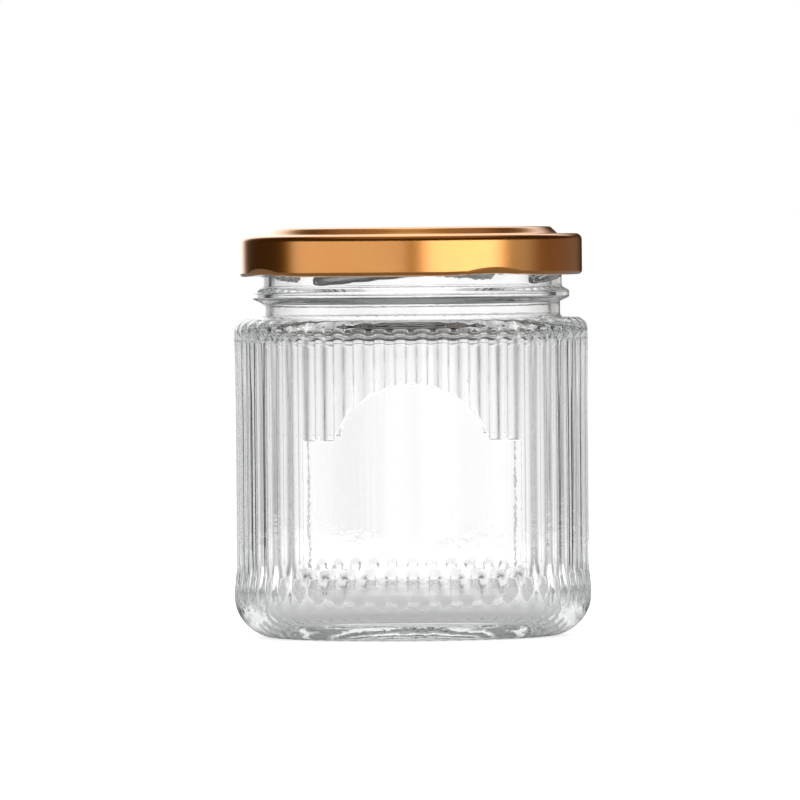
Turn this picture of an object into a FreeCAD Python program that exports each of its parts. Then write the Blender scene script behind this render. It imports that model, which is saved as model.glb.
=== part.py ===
import FreeCAD, Part
import math
import os
import Sketcher

# A round ribbed glass jar, shut with a pressed metal lug cap.
#
# Frame: +Z up, origin at the middle of the base, on the plane the jar stands on.
# The front is -Y and +X is to the right of it. All lengths are millimetres.
#
# The jar is one hollow glass solid: heel, straight wall with upright ribs, flat
# shoulder, waist, carrying bead and a finish with four thread ridges. A smooth
# label field with an arched top breaks the ribs, front and back. The cap is one
# pressed sheet with a raised panel, a curled lower edge and four lugs that hook
# under the ridges. A sealing ring lies in the cap's channel, on the jar's rim.

# ---------------------------------------------------------------- driving sizes

DRIVING_SIZES = [
    # jar body
    ("body_radius", 36.75, "outside of the wall between two ribs"),
    ("wall", 2.6, "thickness of the side wall"),
    ("floor_thickness", 5.2, "glass under the inside floor"),
    ("shoulder_height", 67.1, "outer edge of the flat shoulder above the base"),
    ("shoulder_glass", 2.2, "thickness of the flat shoulder"),
    ("shoulder_rise", 0.3, "climb of the shoulder from its edge to the waist"),
    ("shoulder_round", 2.6, "rounding of the shoulder's outer edge"),
    # heel and base
    ("heel_flare", 1.05, "how far the heel stands out from the wall"),
    ("heel_round", 9.4, "rounding of the heel"),
    ("heel_land", 1.6, "straight height between the heel's rounding and the flare"),
    ("flare_run", 3.2, "height that the flare takes"),
    ("inner_heel_round", 6.8, "rounding between inside wall and floor"),
    ("bearing_width", 1.8, "flat ring that the jar stands on"),
    ("base_hollow", 1.5, "height of the hollow under the base"),
    ("hollow_slope", 2.6, "run of the slope between bearing ring and hollow"),
    # ribs
    ("rib_count", 52, "upright ribs round the body"),
    ("rib_width", 2.3, "width of one rib where it meets the wall"),
    ("rib_depth", 0.5, "how far a rib stands out"),
    ("rib_root", 0.6, "how deep a rib's foot reaches into the wall"),
    ("rib_corner", 2.4, "bend of a rib over the shoulder's edge"),
    ("rib_sink", 0.06, "how far a rib's crest ends below the shoulder"),
    # label field
    ("field_lift", 1.4, "lower edge of the label field above the flare"),
    ("field_half_ribs", 5.5, "half width of the field, in rib spacings"),
    ("ribs_over_field", 13.55, "length of the middle rib over the arch"),
    ("arch_rise", 11.65, "height of the arch over the field's square corners"),
    ("arch_radius", 16.9, "radius of the arch"),
    # waist, bead and finish
    ("neck_step", 4.75, "how far the finish lies inside the wall"),
    ("finish_wall", 2.5, "thickness of the finish"),
    ("waist_depth", 0.4, "how far the waist lies inside the finish"),
    ("waist_height", 3.3, "height of the waist above the shoulder"),
    ("bead_reach", 1.6, "how far the carrying bead stands out"),
    ("bead_slope", 0.85, "height of each sloped face of the bead"),
    ("bead_land", 1.45, "height of the bead's outer face"),
    ("finish_height", 10.45, "from the top of the bead to the rim"),
    ("rim_round", 0.9, "rounding of the rim's two edges"),
    # thread ridges
    ("thread_starts", 4, "thread ridges, and lugs that hook under them"),
    ("thread_depth", 1.5, "how far a ridge stands out"),
    ("thread_half_height", 1.55, "half the height of a ridge at its foot"),
    ("thread_lead", 21.0, "climb of a ridge in one full turn"),
    ("thread_span", 82.0, "degrees that one ridge goes round"),
    ("thread_turn", -32.0, "degrees from +X to the low end of a ridge"),
    ("thread_low", 2.3, "middle of the low end, above the bead"),
    # cap
    ("sheet", 0.25, "metal thickness"),
    ("curl_gap", 0.95, "clear space between thread ridge and curled edge"),
    ("curl_width", 1.9, "width of the curled lower edge"),
    ("curl_height", 1.6, "height of the curl's inner side"),
    ("cap_skirt", 8.7, "height of the skirt, curl included"),
    ("cap_round", 1.4, "rounding between skirt and channel"),
    ("channel_width", 5.15, "flat ring of the cap, outside the raised panel"),
    ("panel_rise", 1.5, "height of the raised panel above the channel"),
    ("panel_slope", 1.6, "run of the slope between channel and panel"),
    ("lug_angle", 22.0, "degrees that one lug takes"),
    ("lug_gap", 0.45, "clear space between lug and finish"),
    ("lug_rise", 1.9, "height at which the skirt bends in to a lug"),
    ("lug_dent", 0.65, "how far the skirt's lower edge is pushed in at a lug"),
    ("lug_turn", 29.6, "degrees from +X to the middle of a lug"),
    # sealing ring
    ("seal_thickness", 0.45, "compound between rim and cap"),
    ("seal_overhang", 1.0, "how far the compound reaches past the rim"),
]


# Share of a thread ridge's length over which each end rises out of the glass.
RIDGE_FADE = 0.12

# Roundness of the cap's curled edge, where 1 would be a full half circle.
CURL_FULLNESS = 0.975


class Size:
    """A length or angle: its number, and the sheet formula that gives it."""

    def __init__(self, value, formula=None):
        self.value = float(value)
        self.formula = formula if formula else repr(float(value))

    @staticmethod
    def of(other):
        return other if isinstance(other, Size) else Size(other)

    def join(self, sign, other, value):
        return Size(value, f"({self.formula} {sign} {other.formula})")

    def __add__(self, other):
        other = Size.of(other)
        return self.join("+", other, self.value + other.value)

    def __sub__(self, other):
        other = Size.of(other)
        return self.join("-", other, self.value - other.value)

    def __mul__(self, other):
        other = Size.of(other)
        return self.join("*", other, self.value * other.value)

    def __truediv__(self, other):
        other = Size.of(other)
        return self.join("/", other, self.value / other.value)

    def __rsub__(self, other):
        return Size.of(other) - self

    def __rmul__(self, other):
        return Size.of(other) * self

    def __rtruediv__(self, other):
        return Size.of(other) / self

    def sine(self):
        """The sine of an angle in degrees."""
        return Size(math.sin(math.radians(self.value)), f"sin({self.formula})")

    def root(self):
        """The square root."""
        return Size(math.sqrt(self.value), f"sqrt({self.formula})")


class Dimensions:
    """The driving sizes by name, each tied to its cell in the sheet."""

    def __init__(self, document):
        sheet = document.addObject("Spreadsheet::Sheet", "dims")
        for row, (name, value, meaning) in enumerate(DRIVING_SIZES, start=1):
            sheet.set(f"A{row}", name)
            sheet.set(f"B{row}", str(value))
            sheet.set(f"C{row}", meaning)
            sheet.setAlias(f"B{row}", name)
            setattr(self, name, Size(value, f"dims.{name}"))
        document.recompute()


doc = FreeCAD.newDocument("ribbed_jar")
d = Dimensions(doc)

# ---------------------------------------------------------------- derived places

# Radii and heights that several pieces share.
inner_radius = d.body_radius - d.wall
heel_radius = d.body_radius + d.heel_flare
finish_radius = d.body_radius - d.neck_step
bore_radius = finish_radius - d.finish_wall
waist_radius = finish_radius - d.waist_depth
bead_radius = finish_radius + d.bead_reach
thread_radius = finish_radius + d.thread_depth
cap_radius = thread_radius + d.curl_gap + d.curl_width

flare_foot = d.heel_round + d.heel_land
flare_height = flare_foot + d.flare_run
waist_foot = d.shoulder_height + d.shoulder_rise
bead_foot = waist_foot + d.waist_height
bead_top = bead_foot + 2 * d.bead_slope + d.bead_land
rim_height = bead_top + d.finish_height

# The cap rests on the sealing ring, which rests on the rim.
seal_top = rim_height + d.seal_thickness
channel_height = seal_top + d.sheet
cap_top = channel_height + d.panel_rise
cap_foot = channel_height - d.cap_skirt

# The cap's step, between channel and raised panel. The sheet keeps its thickness
# on the slope, so its inside is the outside moved square to the slope.
step_foot = cap_radius - d.channel_width
step_head = step_foot - d.panel_slope
slope_length = (d.panel_slope * d.panel_slope + d.panel_rise * d.panel_rise).root()
slope_shift = d.sheet * (slope_length - d.panel_slope) / d.panel_rise
inner_step_foot = step_foot - slope_shift
inner_step_head = step_head - slope_shift
step_round = d.panel_rise / 2

# The label field.
field_low = flare_height + d.field_lift
arch_top = d.shoulder_height - d.ribs_over_field
field_corner = arch_top - d.arch_rise
rib_pitch = 360 / d.rib_count
field_half_width = d.body_radius * (d.field_half_ribs * rib_pitch).sine()


# ---------------------------------------------------------------- sketch helpers

def origin_plane(body, role):
    """One of a body's own origin planes, found by its role."""
    return next(item for item in body.Origin.OriginFeatures if item.Role == role)


def new_body(name):
    body = doc.addObject("PartDesign::Body", name)
    body.Label = name
    return body


def new_sketch(body, name, role="XZ_Plane"):
    """An empty sketch on one of the body's origin planes."""
    sketch = body.newObject("Sketcher::SketchObject", name)
    sketch.AttachmentSupport = (origin_plane(body, role), [""])
    sketch.MapMode = "FlatFace"
    return sketch


def bind(sketch, kind, references, size):
    """Add a dimension to a sketch and tie it to the sheet."""
    index = sketch.addConstraint(Sketcher.Constraint(kind, *references, size.value))
    sketch.setExpression(f"Constraints[{index}]", size.formula)


def place_point(sketch, geometry, position, across, up):
    """Tie a point to its distances from the sketch's two axes."""
    for kind, axis, size in (("DistanceX", -2, across), ("DistanceY", -1, up)):
        if abs(size.value) < 1e-9:
            sketch.addConstraint(Sketcher.Constraint("PointOnObject", geometry, position, axis))
        else:
            bind(sketch, kind, (-1, 1, geometry, position), size)


def rounded_outline(sketch, corners):
    """Draw a closed outline of straight runs whose corners may be rounded.

    Each corner is its distance across, its height, and the radius that rounds
    it or None. A rounded corner keeps a point where its two runs would meet, and
    that point is what the sheet places, so all corners are given in one way.
    """
    points = [FreeCAD.Vector(across.value, up.value, 0) for across, up, _ in corners]
    count = len(corners)
    runs_in = []
    runs_out = []
    arcs = []
    for index, (_, _, radius) in enumerate(corners):
        here = points[index]
        before = (here - points[index - 1]).normalize()
        after = (points[(index + 1) % count] - here).normalize()
        if radius is None:
            runs_in.append(here)
            runs_out.append(here)
            arcs.append(None)
            continue
        turn = math.atan2(before.x * after.y - before.y * after.x, before.dot(after))
        reach = radius.value * math.tan(abs(turn) / 2)
        start = here - before * reach
        side = FreeCAD.Vector(-before.y, before.x, 0) * math.copysign(1, turn)
        centre = start + side * radius.value
        begin = math.atan2(start.y - centre.y, start.x - centre.x)
        sweep = sorted((begin, begin + turn))
        circle = Part.Circle(centre, FreeCAD.Vector(0, 0, 1), radius.value)
        runs_in.append(start)
        runs_out.append(here + after * reach)
        arcs.append((Part.ArcOfCircle(circle, *sweep), turn > 0))

    lines = []
    for index in range(count):
        following = (index + 1) % count
        lines.append(sketch.addGeometry(Part.LineSegment(runs_out[index], runs_in[following]), False))
    for index, (across, up, radius) in enumerate(corners):
        line_in = lines[index - 1]
        line_out = lines[index]
        if radius is None:
            sketch.addConstraint(Sketcher.Constraint("Coincident", line_in, 2, line_out, 1))
            place_point(sketch, line_out, 1, across, up)
            continue
        curve, leftward = arcs[index]
        arc = sketch.addGeometry(curve, False)
        corner = sketch.addGeometry(Part.Point(points[index]), True)
        first, last = (1, 2) if leftward else (2, 1)
        sketch.addConstraint(Sketcher.Constraint("Tangent", line_in, 2, arc, first))
        sketch.addConstraint(Sketcher.Constraint("Tangent", arc, last, line_out, 1))
        sketch.addConstraint(Sketcher.Constraint("PointOnObject", corner, 1, line_in))
        sketch.addConstraint(Sketcher.Constraint("PointOnObject", corner, 1, line_out))
        place_point(sketch, corner, 1, across, up)
        bind(sketch, "Radius", (arc,), radius)


def revolve(body, name, sketch, angle=None, feature="Revolution"):
    """Turn a sketch about the upright axis, the whole way or evenly each side."""
    turned = body.newObject(f"PartDesign::{feature}", name)
    turned.Profile = sketch
    turned.ReferenceAxis = (sketch, ["V_Axis"])
    if angle is None:
        turned.Angle = 360
    else:
        turned.Midplane = True
        turned.setExpression("Angle", angle.formula)
    return turned


def pattern_round(body, name, features, count):
    """Repeat features evenly about the upright axis."""
    pattern = body.newObject("PartDesign::PolarPattern", name)
    pattern.Originals = features
    pattern.Axis = (features[0].Profile[0], ["V_Axis"])
    pattern.Angle = 360
    pattern.setExpression("Occurrences", count.formula)
    body.Tip = pattern
    return pattern


# ---------------------------------------------------------------- the glass wall

def build_wall():
    """The jar without ribs and thread: one turned section."""
    body = new_body("glass_wall")
    flat_outer = heel_radius - d.heel_round
    flat_inner = flat_outer - d.bearing_width
    hollow_edge = flat_inner - d.hollow_slope
    shoulder_under = d.shoulder_height - d.shoulder_glass
    # Inside, an S-shaped bend takes up nearly the whole ledge under the shoulder.
    ledge = inner_radius - bore_radius
    neck_bend = 0.55 * ledge
    shoulder_bend = 0.42 * ledge
    # The flare leaves the wall in a wide bend and meets the heel in a tight one.
    wide_bend = 6 * d.heel_flare
    tight_bend = 2 * d.heel_flare
    corners = [
        (Size(0), d.base_hollow, None),
        (hollow_edge, d.base_hollow, d.base_hollow),
        (flat_inner, Size(0), d.base_hollow / 2),
        (heel_radius, Size(0), d.heel_round),
        (heel_radius, flare_foot, tight_bend),
        (d.body_radius, flare_height, wide_bend),
        (d.body_radius, d.shoulder_height, d.shoulder_round),
        (waist_radius, waist_foot, 2 * d.waist_depth),
        (waist_radius, bead_foot, d.waist_depth),
        (bead_radius, bead_foot + d.bead_slope, d.bead_land / 2),
        (bead_radius, bead_top - d.bead_slope, d.bead_land / 2),
        (finish_radius, bead_top, d.waist_depth),
        (finish_radius, rim_height, d.rim_round),
        (bore_radius, rim_height, d.rim_round),
        (bore_radius, shoulder_under, neck_bend),
        (inner_radius, shoulder_under, shoulder_bend),
        (inner_radius, d.floor_thickness, d.inner_heel_round),
        (Size(0), d.floor_thickness, None),
    ]
    section = new_sketch(body, "wall_section")
    rounded_outline(section, corners)
    body.Tip = revolve(body, "wall_turned", section)
    return body


# ---------------------------------------------------------------- the ribs

def draw_rib_path(sketch):
    """The line of a rib's crest: out over the flare, up, and in over the shoulder."""
    crest = d.body_radius + d.rib_depth
    flare_rest = d.heel_flare - d.rib_depth
    foot_up = d.heel_round
    flare_up = flare_height + d.flare_run / 2
    flare_climb = flare_up - foot_up
    flare_bend = (flare_climb * flare_climb + flare_rest * flare_rest) / (2 * flare_rest)
    bend_up = d.shoulder_height - d.rib_corner - d.rib_sink
    bend_in = crest - d.rib_corner
    inner_end = bend_in - d.rib_corner

    up = FreeCAD.Vector(0, 0, 1)
    flare_centre = FreeCAD.Vector(crest.value + flare_bend.value, flare_up.value, 0)
    flare_turn = math.asin(flare_climb.value / flare_bend.value)
    flare = sketch.addGeometry(Part.ArcOfCircle(
        Part.Circle(flare_centre, up, flare_bend.value), math.pi, math.pi + flare_turn), False)
    wall = sketch.addGeometry(Part.LineSegment(
        FreeCAD.Vector(crest.value, flare_up.value, 0),
        FreeCAD.Vector(crest.value, bend_up.value, 0)), False)
    bend = sketch.addGeometry(Part.ArcOfCircle(
        Part.Circle(FreeCAD.Vector(bend_in.value, bend_up.value, 0), up, d.rib_corner.value),
        0, math.pi / 2), False)
    level = bend_up.value + d.rib_corner.value
    top = sketch.addGeometry(Part.LineSegment(
        FreeCAD.Vector(bend_in.value, level, 0),
        FreeCAD.Vector(inner_end.value, level, 0)), False)

    sketch.addConstraint(Sketcher.Constraint("Tangent", flare, 1, wall, 1))
    sketch.addConstraint(Sketcher.Constraint("Tangent", wall, 2, bend, 1))
    sketch.addConstraint(Sketcher.Constraint("Tangent", bend, 2, top, 1))
    sketch.addConstraint(Sketcher.Constraint("Vertical", wall))
    sketch.addConstraint(Sketcher.Constraint("Horizontal", top))
    place_point(sketch, wall, 1, crest, flare_up)
    bind(sketch, "Radius", (flare,), flare_bend)
    bind(sketch, "DistanceY", (-1, 1, flare, 2), foot_up)
    bind(sketch, "Radius", (bend,), d.rib_corner)
    bind(sketch, "DistanceY", (-1, 1, bend, 3), bend_up)
    bind(sketch, "DistanceX", (-1, 1, top, 2), inner_end)
    return heel_radius, foot_up


def draw_rib_section(sketch, crest, foot_up):
    """Across a rib: a rounded crown on a foot that is sunk into the wall."""
    flank = crest - d.rib_depth
    root = flank - d.rib_root
    half = d.rib_width / 2
    crown = (half * half + d.rib_depth * d.rib_depth) / (2 * d.rib_depth)
    centre = crest - crown
    lean = math.atan2(half.value, flank.value - centre.value)
    sketch.setExpression(".AttachmentOffset.Base.z", foot_up.formula)

    def corner(across, side):
        return FreeCAD.Vector(across.value, side * half.value, 0)

    arc = sketch.addGeometry(Part.ArcOfCircle(
        Part.Circle(FreeCAD.Vector(centre.value, 0, 0), FreeCAD.Vector(0, 0, 1), crown.value),
        -lean, lean), False)
    left = sketch.addGeometry(Part.LineSegment(corner(flank, 1), corner(root, 1)), False)
    back = sketch.addGeometry(Part.LineSegment(corner(root, 1), corner(root, -1)), False)
    right = sketch.addGeometry(Part.LineSegment(corner(root, -1), corner(flank, -1)), False)
    for first, second in (((arc, 2), (left, 1)), ((left, 2), (back, 1)),
                          ((back, 2), (right, 1)), ((right, 2), (arc, 1))):
        sketch.addConstraint(Sketcher.Constraint("Coincident", *first, *second))
    sketch.addConstraint(Sketcher.Constraint("Horizontal", left))
    sketch.addConstraint(Sketcher.Constraint("Horizontal", right))
    sketch.addConstraint(Sketcher.Constraint("Vertical", back))
    sketch.addConstraint(Sketcher.Constraint("PointOnObject", arc, 3, -1))
    bind(sketch, "Radius", (arc,), crown)
    bind(sketch, "DistanceX", (-1, 1, arc, 3), centre)
    bind(sketch, "DistanceX", (-1, 1, back, 1), root)
    bind(sketch, "DistanceX", (-1, 1, arc, 2), flank)


def draw_label_field(sketch):
    """The field's outline: a square-cornered strip with an arch on its top."""
    half = field_half_width.value
    low = field_low.value
    high = field_corner.value
    centre_up = arch_top - d.arch_radius
    rise = high - centre_up.value
    spring = math.sqrt(d.arch_radius.value ** 2 - rise ** 2)
    lean = math.atan2(rise, spring)

    def line(start, end):
        return sketch.addGeometry(Part.LineSegment(
            FreeCAD.Vector(*start, 0), FreeCAD.Vector(*end, 0)), False)

    bottom = line((-half, low), (half, low))
    right = line((half, low), (half, high))
    right_top = line((half, high), (spring, high))
    arch = sketch.addGeometry(Part.ArcOfCircle(
        Part.Circle(FreeCAD.Vector(0, centre_up.value, 0), FreeCAD.Vector(0, 0, 1),
                    d.arch_radius.value), lean, math.pi - lean), False)
    left_top = line((-spring, high), (-half, high))
    left = line((-half, high), (-half, low))
    ring = [bottom, right, right_top, arch, left_top, left]
    for first, second in zip(ring, ring[1:] + ring[:1]):
        sketch.addConstraint(Sketcher.Constraint("Coincident", first, 2, second, 1))
    for level in (bottom, right_top, left_top):
        sketch.addConstraint(Sketcher.Constraint("Horizontal", level))
    for upright in (right, left):
        sketch.addConstraint(Sketcher.Constraint("Vertical", upright))
    sketch.addConstraint(Sketcher.Constraint("Horizontal", right, 2, left, 1))
    sketch.addConstraint(Sketcher.Constraint("PointOnObject", arch, 3, -2))
    bind(sketch, "DistanceX", (bottom, 1, bottom, 2), 2 * field_half_width)
    bind(sketch, "DistanceX", (-1, 1, bottom, 2), field_half_width)
    bind(sketch, "DistanceY", (-1, 1, bottom, 2), field_low)
    bind(sketch, "DistanceY", (-1, 1, right, 2), field_corner)
    bind(sketch, "DistanceY", (-1, 1, arch, 3), centre_up)
    bind(sketch, "Radius", (arch,), d.arch_radius)


def build_ribs():
    """All ribs on a thin sleeve, with the label field cut through front and back.

    The sleeve lies wholly inside the glass wall. It only holds the ribs together
    until they are joined to the wall, which fills the field flush again.
    """
    body = new_body("rib_cage")
    sleeve_outer = d.body_radius - d.rib_root / 3
    sleeve_inner = d.body_radius - d.rib_root
    sleeve_low = flare_height
    sleeve_high = d.shoulder_height - d.shoulder_round
    sleeve = new_sketch(body, "sleeve_section")
    rounded_outline(sleeve, [
        (sleeve_inner, sleeve_low, None),
        (sleeve_outer, sleeve_low, None),
        (sleeve_outer, sleeve_high, None),
        (sleeve_inner, sleeve_high, None),
    ])
    revolve(body, "sleeve_turned", sleeve)

    path = new_sketch(body, "rib_path")
    crest, foot_up = draw_rib_path(path)
    section = new_sketch(body, "rib_section", "XY_Plane")
    draw_rib_section(section, crest, foot_up)
    doc.recompute()

    rib = body.newObject("PartDesign::AdditivePipe", "rib")
    rib.Profile = section
    rib.Spine = (path, [])
    rib.Mode = "Frenet"
    ribs = body.newObject("PartDesign::PolarPattern", "ribs_round")
    ribs.Originals = [rib]
    ribs.Axis = (section, ["N_Axis"])
    ribs.Angle = 360
    ribs.setExpression("Occurrences", d.rib_count.formula)
    body.Tip = ribs
    doc.recompute()

    field = new_sketch(body, "label_field")
    draw_label_field(field)
    cut = body.newObject("PartDesign::Pocket", "label_cut")
    cut.Profile = field
    cut.Type = "ThroughAll"
    cut.Midplane = True
    body.Tip = cut
    return body


# ---------------------------------------------------------------- thread ridges

def ridge_section(azimuth, height, reach):
    """Across a ridge: a rounded crown on a straight back inside the finish."""
    back = finish_radius.value - d.thread_depth.value / 3
    half = d.thread_half_height.value
    out = FreeCAD.Vector(math.cos(azimuth), math.sin(azimuth), 0)
    up = FreeCAD.Vector(0, 0, 1)
    low = out * back + up * (height - half)
    high = out * back + up * (height + half)
    crown = out * (finish_radius.value + reach) + up * height
    return Part.Wire([Part.Arc(low, crown, high).toShape(), Part.makeLine(high, low)])


def build_ridges():
    """One ridge per lug, each climbing round a share of the finish.

    A ridge rises out of the glass over the first and last part of its length,
    so its two ends are sunk in the finish.
    """
    stations = 13
    sunk = -0.2 * d.thread_depth.value
    start_height = (bead_top + d.thread_low).value
    sections = []
    for station in range(stations):
        along = station / (stations - 1)
        angle = d.thread_turn.value + along * d.thread_span.value
        climb = along * d.thread_lead.value * d.thread_span.value / 360
        ease = min(1.0, along / RIDGE_FADE, (1 - along) / RIDGE_FADE)
        ease = ease * ease * (3 - 2 * ease)
        reach = sunk + (d.thread_depth.value - sunk) * ease
        sections.append(ridge_section(math.radians(angle), start_height + climb, reach))
    ridge = Part.makeLoft(sections, True, False)
    starts = int(d.thread_starts.value)
    turned = []
    for start in range(starts):
        copy = ridge.copy()
        copy.rotate(FreeCAD.Vector(0, 0, 0), FreeCAD.Vector(0, 0, 1), 360 * start / starts)
        turned.append(copy)
    ridges = doc.addObject("Part::Feature", "thread_ridges")
    ridges.Shape = Part.makeCompound(turned)
    return ridges


def build_jar():
    """Wall, ribs and thread ridges joined into one glass solid."""
    pieces = [build_wall(), build_ribs(), build_ridges()]
    doc.recompute()
    jar = doc.addObject("Part::MultiFuse", "jar")
    jar.Label = "jar"
    jar.Shapes = pieces
    jar.Refine = True
    jar.Placement = FreeCAD.Placement()
    return jar


# ---------------------------------------------------------------- the cap

def build_cap():
    """A pressed cap: raised panel, channel, skirt, curled edge and four lugs."""
    body = new_body("lid")
    skirt_inner = cap_radius - d.sheet
    curl_inner = cap_radius - d.curl_width
    curl_round = CURL_FULLNESS * d.curl_width / 2
    curl_end = cap_foot + d.curl_height
    corners = [
        (Size(0), cap_top, None),
        (step_head, cap_top, step_round + d.sheet),
        (step_foot, channel_height, step_round),
        (cap_radius, channel_height, d.cap_round),
        (cap_radius, cap_foot, curl_round),
        (curl_inner, cap_foot, curl_round),
        (curl_inner, curl_end, None),
        (curl_inner + d.sheet, curl_end, None),
        (curl_inner + d.sheet, cap_foot + d.sheet, curl_round - d.sheet),
        (skirt_inner, cap_foot + d.sheet, curl_round - d.sheet),
        (skirt_inner, seal_top, d.cap_round - d.sheet),
        (inner_step_foot, seal_top, step_round + d.sheet),
        (inner_step_head, cap_top - d.sheet, step_round),
        (Size(0), cap_top - d.sheet, None),
    ]
    section = new_sketch(body, "cap_section")
    rounded_outline(section, corners)
    revolve(body, "cap_turned", section)

    # At each lug the lower edge is opened, then bent in under the ridge.
    bend_up = cap_foot + d.lug_rise
    past = d.curl_width
    opening = new_sketch(body, "lug_opening")
    rounded_outline(opening, [
        (curl_inner - past, cap_foot - past, None),
        (cap_radius + past, cap_foot - past, None),
        (cap_radius + past, bend_up, None),
        (curl_inner - past, bend_up, None),
    ])
    cut = revolve(body, "lug_cut", opening, d.lug_angle, "Groove")
    body.Tip = cut
    doc.recompute()

    lug_tip = finish_radius + d.lug_gap
    edge = cap_radius - d.lug_dent
    lug_thickness = 2 * d.sheet
    lug = new_sketch(body, "lug_section")
    rounded_outline(lug, [
        (cap_radius, bend_up, None),
        (edge, cap_foot, lug_thickness),
        (lug_tip, cap_foot, None),
        (lug_tip, cap_foot + lug_thickness, None),
        (edge - d.sheet, cap_foot + lug_thickness, d.sheet),
        (skirt_inner, bend_up, None),
    ])
    bent = revolve(body, "lug", lug, d.lug_angle)
    body.Tip = bent
    doc.recompute()
    pattern_round(body, "lugs_round", [cut, bent], d.thread_starts)
    body.setExpression(".Placement.Rotation.Angle", d.lug_turn.formula)
    return body


# ---------------------------------------------------------------- sealing ring

def build_seal():
    """The compound in the cap's channel, between the cap's step and the rim."""
    body = new_body("seal_ring")
    inner_edge = inner_step_foot - d.seal_overhang
    outer_edge = finish_radius + d.seal_overhang
    lifted = seal_top + d.seal_overhang * d.panel_rise / d.panel_slope
    section = new_sketch(body, "seal_section")
    rounded_outline(section, [
        (inner_edge, rim_height, None),
        (outer_edge, rim_height, None),
        (outer_edge, seal_top, None),
        (inner_step_foot, seal_top, step_round + d.sheet),
        (inner_edge, lifted, None),
    ])
    body.Tip = revolve(body, "seal_turned", section)
    body.Placement = FreeCAD.Placement()
    return body


# ---------------------------------------------------------------- build and write

def check_document():
    """Stop on any object that failed, because a recompute does not."""
    for item in doc.Objects:
        if "Invalid" in item.State or "Error" in item.State:
            raise RuntimeError(f"{item.Name} failed: {item.State}")


def write_parts(parts):
    """Write each sub-part to its own file, named by its label."""
    os.makedirs("parts", exist_ok=True)
    for part in parts:
        shape = part.Shape
        if shape.isNull() or not shape.isValid() or len(shape.Solids) != 1:
            raise RuntimeError(f"{part.Label} is not one valid solid")
        shape.exportStep(f"parts/{part.Label}.step")
        print(part.Label, "volume", round(shape.Volume, 1), "faces", len(shape.Faces))


sub_parts = [build_jar(), build_cap(), build_seal()]
doc.recompute()
check_document()
write_parts(sub_parts)
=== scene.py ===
import logging
import math
from dataclasses import dataclass
from enum import Enum
from typing import Any, Mapping, Sequence

import bpy
import numpy as np
from mathutils import Matrix, Vector


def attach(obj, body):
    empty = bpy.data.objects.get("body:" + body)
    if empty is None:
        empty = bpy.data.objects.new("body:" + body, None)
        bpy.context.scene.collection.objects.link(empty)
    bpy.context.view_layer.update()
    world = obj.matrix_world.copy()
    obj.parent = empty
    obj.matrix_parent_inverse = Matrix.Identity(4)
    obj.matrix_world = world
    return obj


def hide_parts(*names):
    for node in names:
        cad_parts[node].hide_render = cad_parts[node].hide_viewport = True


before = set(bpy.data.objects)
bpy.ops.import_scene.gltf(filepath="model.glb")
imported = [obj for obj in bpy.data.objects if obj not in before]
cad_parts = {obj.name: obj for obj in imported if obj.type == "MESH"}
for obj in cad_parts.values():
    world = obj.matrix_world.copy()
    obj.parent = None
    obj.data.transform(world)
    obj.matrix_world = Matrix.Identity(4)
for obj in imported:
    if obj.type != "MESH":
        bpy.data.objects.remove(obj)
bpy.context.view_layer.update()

LOG = logging.getLogger("ribbed_jar")
MM = 0.001
LIGHT_BOUNCES = 32  # rays run a long way inside the base and the shoulder


# ------------------------------------------------------------ shader graphs

class Signal:
    """A shader socket that takes part in Python expressions; each step adds a node."""

    def __init__(self, graph: "Graph", socket: bpy.types.NodeSocket) -> None:
        """Keep the graph and the socket."""
        self.graph = graph
        self.socket = socket

    def _math(self, operation: str, *terms: Any) -> "Signal":
        """One Math node on these terms."""
        return self.graph.signal("ShaderNodeMath", {"operation": operation}, dict(enumerate(terms)))

    def __add__(self, other: Any) -> "Signal":
        """Sum."""
        return self._math("ADD", self, other)

    def __radd__(self, other: Any) -> "Signal":
        """Sum, from the right."""
        return self._math("ADD", other, self)

    def __sub__(self, other: Any) -> "Signal":
        """Difference."""
        return self._math("SUBTRACT", self, other)

    def __rsub__(self, other: Any) -> "Signal":
        """Difference, from the right."""
        return self._math("SUBTRACT", other, self)

    def __mul__(self, other: Any) -> "Signal":
        """Product."""
        return self._math("MULTIPLY", self, other)

    def __rmul__(self, other: Any) -> "Signal":
        """Product, from the right."""
        return self._math("MULTIPLY", other, self)

    def __abs__(self) -> "Signal":
        """Size without the sign."""
        return self._math("ABSOLUTE", self)

    def larger(self, other: Any) -> "Signal":
        """The larger of the two."""
        return self._math("MAXIMUM", self, other)

    def bearing(self, other: "Signal") -> "Signal":
        """Angle in degrees whose tangent is this over the other."""
        return self._math("ARCTAN2", self, other) * math.degrees(1)

    def rise(self) -> "Signal":
        """Angle in degrees whose sine this is."""
        return self._math("ARCSINE", self) * math.degrees(1)

    def smooth(self, low: float, high: float) -> "Signal":
        """Soft step: 0 at low and 1 at high, and the other way when low is the larger."""
        if low > high:
            return 1 - self.smooth(high, low)
        return self.graph.signal(
            "ShaderNodeMapRange", {"interpolation_type": "SMOOTHSTEP"},
            {"Value": self, "From Min": low, "From Max": high})

    def window(self, low: float, high: float, soft: float) -> "Signal":
        """1 between low and high, easing to 0 over soft at each side."""
        half = soft / 2
        return self.smooth(low - half, low + half) * self.smooth(high + half, high - half)


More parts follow.
